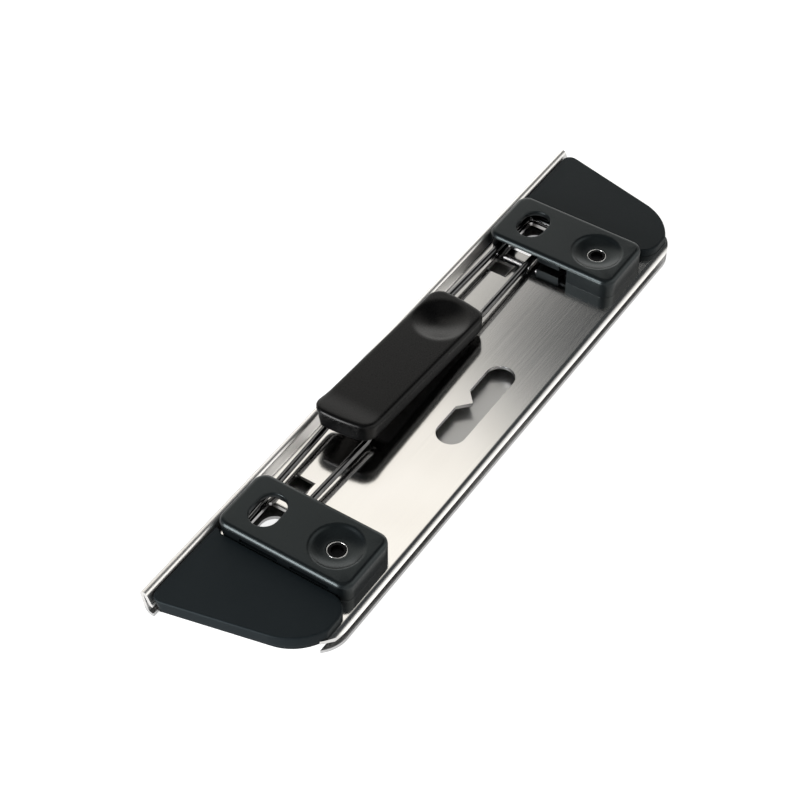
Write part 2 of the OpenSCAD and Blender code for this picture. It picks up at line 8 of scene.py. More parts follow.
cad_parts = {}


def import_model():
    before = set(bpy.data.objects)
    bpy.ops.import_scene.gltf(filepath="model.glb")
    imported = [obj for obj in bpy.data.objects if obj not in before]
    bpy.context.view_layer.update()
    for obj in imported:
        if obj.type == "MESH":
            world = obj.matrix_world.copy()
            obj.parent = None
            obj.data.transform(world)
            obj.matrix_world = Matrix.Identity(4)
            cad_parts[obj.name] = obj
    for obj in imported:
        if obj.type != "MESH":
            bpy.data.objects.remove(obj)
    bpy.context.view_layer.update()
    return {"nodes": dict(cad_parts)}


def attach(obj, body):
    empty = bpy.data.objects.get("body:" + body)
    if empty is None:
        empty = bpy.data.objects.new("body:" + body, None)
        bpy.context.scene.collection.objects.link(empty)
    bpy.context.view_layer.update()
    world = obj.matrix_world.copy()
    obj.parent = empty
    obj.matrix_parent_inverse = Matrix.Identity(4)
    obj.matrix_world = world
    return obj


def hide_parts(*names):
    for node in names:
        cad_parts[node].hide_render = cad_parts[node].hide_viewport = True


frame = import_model()

MM = 0.001
DEG = math.pi / 180
SIDES = {"left": -1, "right": 1}
scene = bpy.context.scene

# Camera at the photograph's viewing angle
CAM_AZ, CAM_EL = math.radians(-56.31), math.radians(46.79)
CAM_POS = Vector((-0.19450, -0.12076, 0.24389))
LENS, SENSOR = 89.42, 36.0

# Lengths are in mm, but in metres for the camera and the lamps.
# Angles are in degrees, but in radians for the camera and where they are multiplied by DEG.
# A piece of a pair is drawn for the right side and mirrored for the left.

# How far a cutter reaches past what it cuts
PAST = 1.0
# Edges that turn by more than SHARP are shaded as sharp
# EDGE_ANGLE is the wider limit of the rounder pieces, for shading or for softening
SHARP, EDGE_ANGLE = 38.0, 50
# Part of a wire's radius by which its tips are narrowed
TIP_SHARE = 0.35
# Gap between a plastic piece and what it stands beside
FIT_GAP = 0.1

# Sheet: its size, and where the holes and the paper stops lie
BODY_L, SHEET_T, DECK_Z = 125.0, 0.7, 2.9
DECK_UNDER = DECK_Z - SHEET_T
BACK_Y, FRONT_Y = 14.65, -14.65
BINDER_Y, PUNCH_Y, STOP_Y, ROCKER_Y, HOLE_X = 6.95, -6.15, 5.85, -0.45, 40.0

# Sheet: the bends of its section
ROLL_R, ROLL_ANGLE = 1.3, 50.0
LIP_BEND_R, LIP_ANGLE, LIP_H, FOLD_R = 0.5, 68.0, 2.1, 0.4
WALL_ANGLE, HEEL_R = -101.0, 1.0
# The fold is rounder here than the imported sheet's, so it is drawn in by what that one lacks
FOLD_TRIM = 0.013

# Sheet: its ends, which the caps overhang
END_X, END_SLANT, CORNER_R = 62.5, 4.5, 14.0
CAP_WALL, PART_GAP, OVERHANG = 1.3, 0.15, 1.6
SHEET_INSET = OVERHANG + CAP_WALL + PART_GAP / 2


def smoothstep(t):
    t = min(1.0, max(0.0, t))
    return t * t * (3 - 2 * t)


def quarter(steps, first=0):
    """Angles of a quarter round in equal steps, in radians."""
    return [90 * k / steps * DEG for k in range(first, steps + 1)]


# Mesh tools

def new_object(name, bm, sharp=SHARP):
    """Makes a shaded object from a bmesh whose points are in mm."""
    bmesh.ops.recalc_face_normals(bm, faces=bm.faces)
    bmesh.ops.scale(bm, vec=(MM, MM, MM), verts=bm.verts)
    mesh = bpy.data.meshes.new(name)
    bm.to_mesh(mesh)
    bm.free()
    obj = bpy.data.objects.new(name, mesh)
    scene.collection.objects.link(obj)
    shade(obj, sharp)
    return obj


def shade(obj, sharp):
    mesh = obj.data
    mesh.polygons.foreach_set("use_smooth", [True] * len(mesh.polygons))
    mesh.set_sharp_from_angle(angle=sharp * DEG)


def settle(obj):
    """Turns an object's modifiers into its mesh."""
    bpy.context.view_layer.update()
    dg = bpy.context.evaluated_depsgraph_get()
    mesh = bpy.data.meshes.new_from_object(obj.evaluated_get(dg))
    old = obj.data
    obj.modifiers.clear()
    obj.data = mesh
    bpy.data.meshes.remove(old)


def cut(obj, cutters, operation="DIFFERENCE"):
    """Cuts each cutter out of an object, or joins it on, and removes the cutter."""
    for c in cutters:
        mod = obj.modifiers.new("cut", "BOOLEAN")
        mod.solver, mod.operation, mod.object = "EXACT", operation, c
        settle(obj)
        mesh = c.data
        bpy.data.objects.remove(c)
        bpy.data.meshes.remove(mesh)


def soften(obj, width, segments=2, angle=40.0):
    """Rounds the sharp edges that are left."""
    mod = obj.modifiers.new("soften", "BEVEL")
    mod.width, mod.segments, mod.limit_method = width * MM, segments, "ANGLE"
    mod.angle_limit, mod.harden_normals = angle * DEG, False
    mod.miter_outer = "MITER_ARC"
    settle(obj)
    even(obj)


def even(obj, sharp=SHARP):
    """Smooth shading in which the large flat faces keep their own normals."""
    shade(obj, sharp)
    mod = obj.modifiers.new("even", "WEIGHTED_NORMAL")
    mod.mode, mod.weight, mod.keep_sharp = "FACE_AREA", 100, True
    settle(obj)


def mirrored(bm, side):
    if side < 0:
        bmesh.ops.scale(bm, vec=(-1, 1, 1), verts=bm.verts)


def ring(bm, pts, z):
    """Makes vertices of points, at height z where they have none of their own."""
    return [bm.verts.new((p[0], p[1], z if len(p) == 2 else p[2])) for p in pts]


def bridge(bm, a, b):
    """Joins two loops of equal length by a band of faces."""
    n = len(a)
    for i in range(n):
        j = (i + 1) % n
        bm.faces.new((a[i], a[j], b[j], b[i]))


def bridge_all(bm, loops):
    for a, b in zip(loops, loops[1:]):
        bridge(bm, a, b)


def inside(p, loop):
    hit = False
    for (x0, y0), (x1, y1) in zip(loop, loop[1:] + loop[:1]):
        if (y0 > p[1]) != (y1 > p[1]) and p[0] < x0 + (p[1] - y0) * (x1 - x0) / (y1 - y0):
            hit = not hit
    return hit


def plate(bm, outer, holes=()):
    """Fills the region between a loop of vertices and the loops of its holes, as seen from above."""
    loops = [outer, *holes]
    verts = [v for loop in loops for v in loop]
    edges, start = [], 0
    for loop in loops:
        n = len(loop)
        edges += [(start + i, start + (i + 1) % n) for i in range(n)]
        start += n
    flat = [[(v.co.x, v.co.y) for v in loop] for loop in loops]
    out = delaunay_2d_cdt([Vector((v.co.x, v.co.y)) for v in verts], edges, [], 0, 1e-6)
    places, tris, ids = out[0], out[2], out[3]
    for t in tris:
        c = sum((places[i] for i in t), Vector((0, 0))) / len(t)
        if inside(c, flat[0]) and not any(inside(c, h) for h in flat[1:]):
            bm.faces.new([verts[ids[i][0]] for i in t])


def arc(cx, cy, r, a0, a1, n):
    """Points of an arc in n equal steps from one angle to another."""
    angles = [(a0 + (a1 - a0) * i / n) * DEG for i in range(n + 1)]
    return [(cx + r * math.cos(a), cy + r * math.sin(a)) for a in angles]


def rounded_rect(cx, cy, l, w, r, n=8):
    pts = []
    for i, (sx, sy) in enumerate(((1, 1), (-1, 1), (-1, -1), (1, -1))):
        pts += arc(cx + sx * (l / 2 - r), cy + sy * (w / 2 - r), r, 90 * i, 90 * (i + 1), n)
    return pts


def stadium(cx, cy, l, w, n=16):
    r = w / 2
    return arc(cx + l / 2 - r, cy, r, -90, 90, n) + arc(cx - l / 2 + r, cy, r, 90, 270, n)


def circle(cx, cy, r, n=48):
    return arc(cx, cy, r, 0, 360 * (n - 1) / n, n - 1)


def prism(name, pts, z0, z1, side=1):
    """A plain cutter: a loop of points drawn from z0 to z1."""
    bm = bmesh.new()
    a, b = ring(bm, pts, z0), ring(bm, pts, z1)
    bridge(bm, a, b)
    plate(bm, a)
    plate(bm, b)
    mirrored(bm, side)
    return new_object(name, bm)


def box(name, x, y, z, side=1):
    return prism(name, [(x[0], y[0]), (x[1], y[0]), (x[1], y[1]), (x[0], y[1])], z[0], z[1], side)


def tube(bm, path, r, n):
    """Sweeps a round wire of n sides along a path of points. Its tips are narrowed and a little hollow."""
    path = [Vector(p) for p in path]
    last = len(path) - 1
    heads = [(path[min(i + 1, last)] - path[max(i - 1, 0)]).normalized() for i in range(last + 1)]
    u = heads[0].orthogonal().normalized()
    places = []
    for p, h in zip(path, heads):
        u = (u - h * u.dot(h)).normalized()
        places.append((p, u.copy(), h.cross(u), h))

    def loop(p, u, v, k):
        angles = [2 * math.pi * i / n for i in range(n)]
        return [bm.verts.new(p + (u * math.cos(a) + v * math.sin(a)) * k) for a in angles]

    def tip(place, inward, angles):
        p, u, v, h = place
        tip_loops = []
        for a in angles:
            share = TIP_SHARE * (1 - math.sin(a * DEG))
            tip_loops.append(loop(p + h * (inward * r * share), u, v, r * (1 - share)))
        return tip_loops

    loops = tip(places[0], 1, (0, 45))
    loops += [loop(p, u, v, r) for p, u, v, h in places[1:-1]]
    loops += tip(places[-1], -1, (45, 0))
    bridge_all(bm, loops)
    bm.faces.new(loops[0][::-1])
    bm.faces.new(loops[-1])


def lathe(bm, profile, cx, cy, n):
    """Turns a closed profile of (radius, height) points about an upright axis."""
    rings = [ring(bm, circle(cx, cy, r, n), z) for r, z in profile]
    bridge_all(bm, rings + rings[:1])


# Materials

def material(name, colour, metallic, roughness, specular=0.5):
    mat = bpy.data.materials.new(name)
    mat.use_nodes = True
    nodes, links = mat.node_tree.nodes, mat.node_tree.links
    b = nodes["Principled BSDF"]
    b.inputs["Base Color"].default_value = (*colour, 1)
    b.inputs["Metallic"].default_value = metallic
    b.inputs["Roughness"].default_value = roughness
    b.inputs["Specular IOR Level"].default_value = specular
    return mat, nodes, links, b


def coords(nodes, links, scale):
    """Object coordinates in mm, stretched by a scale per axis."""
    tc = nodes.new("ShaderNodeTexCoord")
    mp = nodes.new("ShaderNodeMapping")
    mp.inputs["Scale"].default_value = [s / MM for s in scale]
    links.new(tc.outputs["Object"], mp.inputs["Vector"])
    return mp.outputs["Vector"]


def noise(nodes, links, vector, scale, detail, rough=0.55):
    t = nodes.new("ShaderNodeTexNoise")
    t.inputs["Scale"].default_value = scale
    t.inputs["Detail"].default_value = detail
    t.inputs["Roughness"].default_value = rough
    links.new(vector, t.inputs["Vector"])
    return t.outputs["Fac"]


def spread(nodes, links, fac, low, high, f0=0.3, f1=0.7):
    """Maps a socket's values from f0 to f1 onto those from low to high."""
    m = nodes.new("ShaderNodeMapRange")
    m.inputs["From Min"].default_value, m.inputs["From Max"].default_value = f0, f1
    m.inputs["To Min"].default_value, m.inputs["To Max"].default_value = low, high
    links.new(fac, m.inputs["Value"])
    return m.outputs["Result"]


def tint(nodes, links, fac, low, high):
    """Mixes two colours, each given as three numbers or as a socket."""
    m = nodes.new("ShaderNodeMix")
    m.data_type = "RGBA"
    for name, colour in (("A", low), ("B", high)):
        if isinstance(colour, tuple):
            m.inputs[name].default_value = (*colour, 1)
        else:
            links.new(colour, m.inputs[name])
    links.new(fac, m.inputs["Factor"])
    return m.outputs["Result"]


def maths(nodes, links, operation, a, b=None):
    """Works on one socket, alone or with a number or another socket."""
    m = nodes.new("ShaderNodeMath")
    m.operation = operation
    links.new(a, m.inputs[0])
    if isinstance(b, (int, float)):
        m.inputs[1].default_value = b
    elif b is not None:
        links.new(b, m.inputs[1])
    return m.outputs[0]


def bump(nodes, links, b, height, strength, distance):
    n = nodes.new("ShaderNodeBump")
    n.inputs["Strength"].default_value = strength
    n.inputs["Distance"].default_value = distance * MM
    links.new(height, n.inputs["Height"])
    links.new(n.outputs["Normal"], b.inputs["Normal"])


def sheet_steel():
    """Stainless sheet: a slightly blurred mirror on the deck, satin on the bends and on the lower plate."""
    mirror, satin, line_gloss, line_strength, line_depth = 0.12, 0.34, 0.012, 0.03, 0.006
    # Distances from the deck between mirror and satin, and heights between the painted shade below and the
    # bright colour above
    mirror_to, satin_from, painted_shade_to, bright_from = 0.03, 0.3, 0.9, 2.1
    mat, nodes, links, b = material("sheet_steel", (0.80, 0.79, 0.77), 1.0, mirror)
    place = coords(nodes, links, (1, 1, 1))
    lines = noise(nodes, links, coords(nodes, links, (0.02, 2.2, 2.2)), 2.0, 4)
    cloud = noise(nodes, links, coords(nodes, links, (0.05, 0.05, 0.05)), 1.0, 2)
    split = nodes.new("ShaderNodeSeparateXYZ")
    links.new(place, split.inputs[0])
    height = split.outputs["Z"]
    # Gloss by the distance from the top of the deck
    off_deck = maths(nodes, links, "ABSOLUTE", maths(nodes, links, "SUBTRACT", height, DECK_Z))
    gloss = spread(nodes, links, off_deck, mirror, satin, mirror_to, satin_from)
    drift = spread(nodes, links, lines, -line_gloss, line_gloss)
    links.new(maths(nodes, links, "ADD", gloss, drift), b.inputs["Roughness"])
    # Colour by height: darker towards the bottom, most on the lower plate, as painted shade of the closed
    # paper channel
    cloudy = spread(nodes, links, cloud, 0, 1)
    bright = tint(nodes, links, cloudy, (0.77, 0.755, 0.735), (0.83, 0.82, 0.81))
    above = spread(nodes, links, height, 0, 1, painted_shade_to, bright_from)
    links.new(tint(nodes, links, above, (0.60, 0.60, 0.60), bright), b.inputs["Base Color"])
    bump(nodes, links, b, lines, line_strength, line_depth)
    return mat


def moulded(name, low, high, roughness, grain, specular, sheen=(1, 1, 1)):
    """Moulded plastic: fine spark grain, slight drift of colour and gloss."""
    gloss_drift, grain_strength, grain_depth = 0.06, 0.25, 0.012
    mat, nodes, links, b = material(name, low, 0.0, roughness, specular)
    b.inputs["Specular Tint"].default_value = (*sheen, 1)
    fine = noise(nodes, links, coords(nodes, links, (1, 1, 1)), grain, 4, 0.6)
    drift = noise(nodes, links, coords(nodes, links, (0.12, 0.12, 0.12)), 1.0, 2)
    links.new(tint(nodes, links, spread(nodes, links, drift, 0, 1), low, high), b.inputs["Base Color"])
    gloss = spread(nodes, links, fine, roughness - gloss_drift, roughness + gloss_drift)
    links.new(gloss, b.inputs["Roughness"])
    bump(nodes, links, b, fine, grain_strength, grain_depth)
    return mat


def metal(name, low, high, roughness, stretch=(1, 1, 1), scale=3.0, depth=0.01):
    """Bare metal with drawn or ground lines."""
    finest, roughest, line_strength = 0.75, 1.3, 0.12
    mat, nodes, links, b = material(name, low, 1.0, roughness)
    lines = noise(nodes, links, coords(nodes, links, stretch), scale, 4)
    links.new(tint(nodes, links, spread(nodes, links, lines, 0, 1), low, high), b.inputs["Base Color"])
    gloss = spread(nodes, links, lines, roughness * finest, roughness * roughest)
    links.new(gloss, b.inputs["Roughness"])
    bump(nodes, links, b, lines, line_strength, depth)
    return mat


# The black caps and housings shine a little bluish
COOL = (0.84, 0.97, 1.0)
UPRIGHT = (1, 1, 0.2)
STEEL = sheet_steel()
CAP = moulded("cap_plastic", (0.0046, 0.0070, 0.0088), (0.0058, 0.0084, 0.0103), 0.50, 7.0, 0.18, COOL)
HOUSING = moulded("housing_plastic", (0.0016, 0.0024, 0.0030), (0.0022, 0.0030, 0.0036), 0.33, 8.0, 0.43,
                  COOL)
GRIP = moulded("grip_plastic", (0.0008, 0.0008, 0.0009), (0.0012, 0.0012, 0.0013), 0.30, 6.0, 0.19)
KEEPER = moulded("keeper_plastic", (0.004, 0.004, 0.005), (0.006, 0.006, 0.007), 0.5, 7.0, 0.3)
# The wires' chrome is painted dark all over: painted shade for the dark reflections on their undersides
WIRE = metal("chrome_wire", (0.08, 0.08, 0.083), (0.13, 0.13, 0.13), 0.10, (0.4, 1, 1), depth=0.006)
EYELET = metal("eyelet_steel", (0.52, 0.52, 0.52), (0.66, 0.66, 0.65), 0.16, depth=0.006)
# The pins' and the rocker's steel is painted dark for the shade inside the housing's mouth
PIN = metal("pin_steel", (0.14, 0.14, 0.15), (0.22, 0.22, 0.22), 0.25, (3, 0.3, 3))
LEVER = metal("lever_steel", (0.05, 0.05, 0.055), (0.09, 0.09, 0.095), 0.38, scale=2.5)
SPRING = metal("spring_steel", (0.46, 0.46, 0.47), (0.60, 0.60, 0.60), 0.25, scale=4.0)
TOOL = metal("tool_steel", (0.20, 0.21, 0.22), (0.32, 0.33, 0.34), 0.30, UPRIGHT, 4.0)
# The punch's steel is painted near black: painted shade of the deep bore in the middle of the dimple
BORE_SHADE = metal("bore_shade_steel", (0.006, 0.006, 0.007), (0.012, 0.012, 0.013), 0.45, UPRIGHT, 4.0)


def dress(obj, mat, body, node):
    """Gives a piece its material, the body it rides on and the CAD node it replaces."""
    obj.data.materials.clear()
    obj.data.materials.append(mat)
    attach(obj, body)
    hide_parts(node)


# Folded sheet

def turn(p, a, r, t, steps):
    """A bend of a path of (y, z, heading) points: from p and heading a, with radius r, by an angle t."""
    s = 1 if t > 0 else -1
    out = []
    for i in range(steps + 1):
        b = (a + t * i / steps) * DEG
        out.append((p[0] + s * r * (math.sin(b) - math.sin(a * DEG)),
                    p[1] - s * r * (math.cos(b) - math.cos(a * DEG)), b))
    return out


def sheet_section(steps=14):
    """Section of the folded sheet as (y, z) points, and the y at which the lip begins."""
    half = SHEET_T / 2
    mid = DECK_Z - half
    lip_cos, lip_sin = math.cos(LIP_ANGLE * DEG), math.sin(LIP_ANGLE * DEG)
    wall_cos, wall_sin = math.cos(WALL_ANGLE * DEG), math.sin(WALL_ANGLE * DEG)
    straight = (LIP_H - (LIP_BEND_R + FOLD_R) * (1 - lip_cos)) / lip_sin
    reach = (LIP_BEND_R + FOLD_R) * lip_sin + straight * lip_cos
    lip_y = BACK_Y - FOLD_TRIM - half - FOLD_R - reach
    # Front roll, deck and lip
    start_y = FRONT_Y + half * math.sin(ROLL_ANGLE * DEG)
    start_z = mid - ROLL_R * (1 - math.cos(ROLL_ANGLE * DEG))
    path = turn((start_y, start_z), ROLL_ANGLE, ROLL_R, -ROLL_ANGLE, steps)
    path += turn((lip_y, mid), 0, LIP_BEND_R, LIP_ANGLE, steps)
    # Fold, back wall, heel and lower plate
    b = path[-1]
    top = (b[0] + straight * lip_cos, b[1] + straight * lip_sin)
    path += turn(top, LIP_ANGLE, FOLD_R, WALL_ANGLE - LIP_ANGLE, 2 * steps)
    f = path[-1]
    wall_l = (f[1] - half - HEEL_R * (1 + wall_cos)) / -wall_sin
    end = (f[0] + wall_l * wall_cos, f[1] + wall_l * wall_sin)
    path += turn(end, WALL_ANGLE, HEEL_R, -180 - WALL_ANGLE, steps)
    path.append((FRONT_Y, half, -math.pi))
    left = [(p[0] - half * math.sin(p[2]), p[1] + half * math.cos(p[2])) for p in path]
    right = [(p[0] + half * math.sin(p[2]), p[1] - half * math.cos(p[2])) for p in path]
    return left + right[::-1], lip_y


SECTION, HEM_Y = sheet_section()
# The slanted end of the plan: its normal and that one's angle, then the centre of its round corner
END_LEN = math.hypot(END_SLANT, BACK_Y - FRONT_Y)
END_N = ((BACK_Y - FRONT_Y) / END_LEN, -END_SLANT / END_LEN)
END_ANGLE = math.degrees(math.atan2(END_N[1], END_N[0]))
CORNER_Y = FRONT_Y + CORNER_R
CORNER_X = END_X - END_SLANT * (BACK_Y - CORNER_Y) / (BACK_Y - FRONT_Y) - CORNER_R / END_N[0]
# The rim runs on straight past the round corner of the deck and ends in a tighter one
RIM_Y = FRONT_Y + 1.95
RIM_ARC_X, RIM_ARC_R = 49.6, 6.0
# From here the deck's end runs straight down to the rim, beside the wall of the cap
DECK_FOOT_Y = FRONT_Y + 3.6
# Paper stops
STOP_X, STOP_W, STOP_BEND_R, STOP_FOOT_Z, STOP_ROOT = 30.6, 3.4, 0.3, 0.85, 0.25
STOP_BEND_Y, STOP_BACK_Y = STOP_Y - STOP_BEND_R, STOP_Y + SHEET_T + 3.2
STOP_WINDOW_R = 0.35
# Slot with a pointer in its back side, at the middle of the deck
SLOT_L, SLOT_W, SLOT_Y = 20.4, 5.2, PUNCH_Y - 0.1
POINTER_HALF, POINTER_DEPTH = 2.2, 2.0
# Holes in the deck and in the lower plate
WINDOW_L, WINDOW_W, WINDOW_R = 8.0, 5.5, 0.5
RING_L, RING_W = 7.8, 5.3
PUNCH_HOLE_R, DIE_HOLE_R = 2.8, 3.5
DECK_CUT = (DECK_UNDER - 0.4, DECK_Z + 0.4)
LOWER_CUT = (-PAST, SHEET_T + 0.6)
PLAN_TOP = 9
SHEET_EDGE = 0.14


def deck_end():
    """End of the deck inside the cap's wall, from the lip to its foot."""
    r = CORNER_R - SHEET_INSET
    back_x = END_X - SHEET_INSET / END_N[0] - END_SLANT * (BACK_Y - HEM_Y) / (BACK_Y - FRONT_Y)
    low = math.degrees(math.asin((DECK_FOOT_Y - CORNER_Y) / r))
    return [(back_x, HEM_Y)] + arc(CORNER_X, CORNER_Y, r, END_ANGLE, low, 28)


def plan_points():
    """Plan of the sheet, whose lip runs on over both ends."""
    back = [(END_X, BACK_Y + PAST), (END_X, HEM_Y)]
    deck = deck_end()
    foot = [(deck[-1][0], RIM_Y)]
    rim_top = math.degrees(math.asin((RIM_Y - FRONT_Y) / RIM_ARC_R - 1))
    rim = arc(RIM_ARC_X, FRONT_Y + RIM_ARC_R, RIM_ARC_R, rim_top, -90, 16)
    right = back + deck + foot + rim + [(RIM_ARC_X, FRONT_Y - PAST)]
    return right + [(-x, y) for x, y in reversed(right)]


def pointer_slot():
    r = SLOT_W / 2
    left = arc(-SLOT_L / 2 + r, SLOT_Y, r, 90, 270, 20)
    right = arc(SLOT_L / 2 - r, SLOT_Y, r, -90, 90, 20)
    side_y = SLOT_Y + r
    return left + right + [(POINTER_HALF, side_y), (0, side_y - POINTER_DEPTH), (-POINTER_HALF, side_y)]


def strip(name, section, x0, x1):
    """A section of (y, z) points drawn from x0 to x1."""
    bm = bmesh.new()
    ends = [[bm.verts.new((x, y, z)) for y, z in section] for x in (x0, x1)]
    bridge(bm, *ends)
    for e in ends:
        bm.faces.new(e)
    return new_object(name, bm)


def stop_tab(x):
    """Paper stop: a tab of the deck, bent down at the front of its window."""
    y, z = STOP_BEND_Y, DECK_UNDER - STOP_BEND_R
    outer = arc(y, z, STOP_BEND_R + SHEET_T, 90, 0, 8)
    inner = arc(y, z, STOP_BEND_R, 0, 90, 8)
    foot = [(y + STOP_BEND_R + SHEET_T, STOP_FOOT_Z), (y + STOP_BEND_R, STOP_FOOT_Z)]
    root = [(y - STOP_ROOT, DECK_UNDER), (y - STOP_ROOT, DECK_Z)]
    return strip("stop", outer + foot + inner + root, x - STOP_W / 2, x + STOP_W / 2)


def stop_window(x):
    length = STOP_BACK_Y - STOP_BEND_Y
    return rounded_rect(x, (STOP_BEND_Y + STOP_BACK_Y) / 2, STOP_W, length, STOP_WINDOW_R, 4)


def folded_sheet():
    obj = strip("sheet_metal", SECTION, -BODY_L / 2, BODY_L / 2)
    cut(obj, [prism("plan", plan_points(), -PAST, PLAN_TOP)], "INTERSECT")
    cutters = [prism("slot", pointer_slot(), *DECK_CUT)]
    for s in SIDES.values():
        x = s * HOLE_X
        cutters += [
            prism("window", rounded_rect(x, BINDER_Y, WINDOW_L, WINDOW_W, WINDOW_R), *DECK_CUT),
            prism("stop_window", stop_window(s * STOP_X), *DECK_CUT),
            prism("punch_hole", circle(x, PUNCH_Y, PUNCH_HOLE_R), *DECK_CUT),
            prism("die_hole", circle(x, PUNCH_Y, DIE_HOLE_R), *LOWER_CUT),
            prism("ring_hole", stadium(x, BINDER_Y, RING_L, RING_W), *LOWER_CUT),
        ]
    cut(obj, cutters)
    cut(obj, [stop_tab(s * STOP_X) for s in SIDES.values()], "UNION")
    soften(obj, SHEET_EDGE, 3)
    dress(obj, STEEL, "base", "folded_body")


# Housings

HOUSE_L, HOUSE_H, HOUSE_R, HOUSE_CORNER = 12.6, 3.8, 0.9, 2.2
HOUSE_X0, HOUSE_X1 = HOLE_X - HOUSE_L / 2, HOLE_X + HOUSE_L / 2
HOUSE_Y0, HOUSE_Y1 = FRONT_Y + 2.3, HEM_Y - FIT_GAP
TOP_Z = DECK_Z + HOUSE_H
# The back side is upright at its foot and then leans out along the lip
HOUSE_LEAN, HOUSE_FOOT = 0.5, 0.3
# Dimple, a bowl down to the bush, with a soft edge over the first part of its way
EYELET_R, BUSH_SIDES = 1.70, 56
BOWL_R, BOWL_DEPTH, BOWL_CURVE, BOWL_EDGE = 4.75, 0.95, 1.8, 1 / 4
BORE_R = EYELET_R + 0.02
# Binder hole and the width of its soft lip
BINDER_L, BINDER_W, BINDER_LIP = 7.0, 4.95, 0.2
# Hollow inside, open to the bails at the mouth
HOLLOW_X0, HOLLOW_X1 = HOUSE_X0 + 1.0, HOUSE_X1 - 1.0
HOLLOW_Y0, HOLLOW_Y1 = HOUSE_Y0 + 1.1, HOUSE_Y1 - 0.6
HOLLOW_LOW, HOLLOW_Z, ROOF_UNDER = DECK_Z - PAST, DECK_Z + 2.4, TOP_Z - 0.9
HIGH_HOLLOW_Y0 = ROCKER_Y - 1
MOUTH_X1, MOUTH_Y0 = HOLLOW_X0 + 0.5, PUNCH_Y + 2.45
# Two slits in the outer end, on either side of a bar
SLIT_HALF, SLIT_BAR_HALF, SLIT_X0 = 3.6, 1.2, HOLLOW_X1 + 0.3
SLIT_Z0, SLIT_Z1 = DECK_Z + 1.6, DECK_Z + 1.6 + 0.75
# Rib that carries the pins
RIB_X0, RIB_X1 = HOUSE_X0 + 1.0, HOUSE_X0 + 2.8
RIB_Y0, RIB_Y1 = ROCKER_Y - 1.2, BINDER_Y - 4.1
RIB_Z0, RIB_Z1 = DECK_Z + 0.9, ROOF_UNDER + 0.1
HOUSE_EDGE = 0.12


def house_ring(bm, inset, z):
    """Outline of a housing at height z, drawn in by inset."""
    upright = DECK_Z + HOUSE_FOOT
    lean = HOUSE_LEAN * min(1, max(0, (z - upright) / (HOUSE_H - HOUSE_R - HOUSE_FOOT)))
    w = HOUSE_Y1 + lean - HOUSE_Y0
    length, width, corner = HOUSE_L - 2 * inset, w - 2 * inset, HOUSE_CORNER - inset
    return ring(bm, rounded_rect(HOLE_X, HOUSE_Y0 + w / 2, length, width, corner, 10), z)


def house_bowl(bm):
    rounds = 14
    loops = []
    for k in range(rounds + 1):
        t = k / rounds
        fall = (1 - (1 - t) ** BOWL_CURVE) * smoothstep(t / BOWL_EDGE)
        r = BOWL_R + (BORE_R - BOWL_R) * t
        loops.append(ring(bm, circle(HOLE_X, PUNCH_Y, r, BUSH_SIDES), TOP_Z - BOWL_DEPTH * fall))
    loops.append(ring(bm, circle(HOLE_X, PUNCH_Y, BORE_R, BUSH_SIDES), DECK_Z))
    return loops


def house_binder_hole(bm):
    loops = []
    for a in quarter(4):
        d = 2 * BINDER_LIP * (1 - math.sin(a))
        outline = stadium(HOLE_X, BINDER_Y, BINDER_L + d, BINDER_W + d)
        loops.append(ring(bm, outline, TOP_Z - BINDER_LIP * (1 - math.cos(a))))
    loops.append(ring(bm, stadium(HOLE_X, BINDER_Y, BINDER_L, BINDER_W), DECK_Z))
    return loops


def housing(side_name, side):
    bm = bmesh.new()
    rings = [house_ring(bm, 0, z) for z in (DECK_Z, DECK_Z + HOUSE_FOOT, TOP_Z - HOUSE_R)]
    for a in quarter(7, 1):
        rings.append(house_ring(bm, HOUSE_R * (1 - math.cos(a)), TOP_Z - HOUSE_R * (1 - math.sin(a))))
    bowl, hole = house_bowl(bm), house_binder_hole(bm)
    for loops in (rings, bowl, hole):
        bridge_all(bm, loops)
    plate(bm, rings[-1], [bowl[0], hole[0]])
    plate(bm, rings[0], [bowl[-1], hole[-1]])
    mirrored(bm, side)
    obj = new_object(f"punch_housing_{side_name}", bm)
    hollow_x = (HOLLOW_X0, HOLLOW_X1)
    cutters = [
        box("cavity", hollow_x, (HOLLOW_Y0, HOLLOW_Y1), (HOLLOW_LOW, HOLLOW_Z), side),
        box("cavity_top", hollow_x, (HIGH_HOLLOW_Y0, HOLLOW_Y1), (HOLLOW_LOW, ROOF_UNDER), side),
        box("mouth", (HOUSE_X0 - PAST, MOUTH_X1), (MOUTH_Y0, HOLLOW_Y1), (HOLLOW_LOW, ROOF_UNDER), side),
    ]
    slit_x = (SLIT_X0, HOUSE_X1 + PAST)
    for s in (-1, 1):
        y = ROCKER_Y + s * (SLIT_BAR_HALF + SLIT_HALF)
        cutters.append(box("slit", slit_x, (y - SLIT_HALF, y + SLIT_HALF), (SLIT_Z0, SLIT_Z1), side))
    cut(obj, cutters)
    cut(obj, [box("rib", (RIB_X0, RIB_X1), (RIB_Y0, RIB_Y1), (RIB_Z0, RIB_Z1), side)], "UNION")
    soften(obj, HOUSE_EDGE, 2, EDGE_ANGLE)
    dress(obj, HOUSING, "base", f"housing_{side_name}")


# End caps

CAP_H, CAP_BEVEL, CAP_CORNER, CAP_BACK_R = 1.6, 0.2, 3.5, 1.6
CAP_TOP_R, CAP_FOOT_R, CAP_EDGE = 0.3, 0.08, 0.06
CAP_X0 = HOUSE_X1 + FIT_GAP
CAP_Y0 = FRONT_Y + SHEET_T / 2 * math.sin(ROLL_ANGLE * DEG) + ROLL_R * math.sin(ROLL_ANGLE * DEG) + FIT_GAP
CAP_Y1 = HEM_Y - FIT_GAP
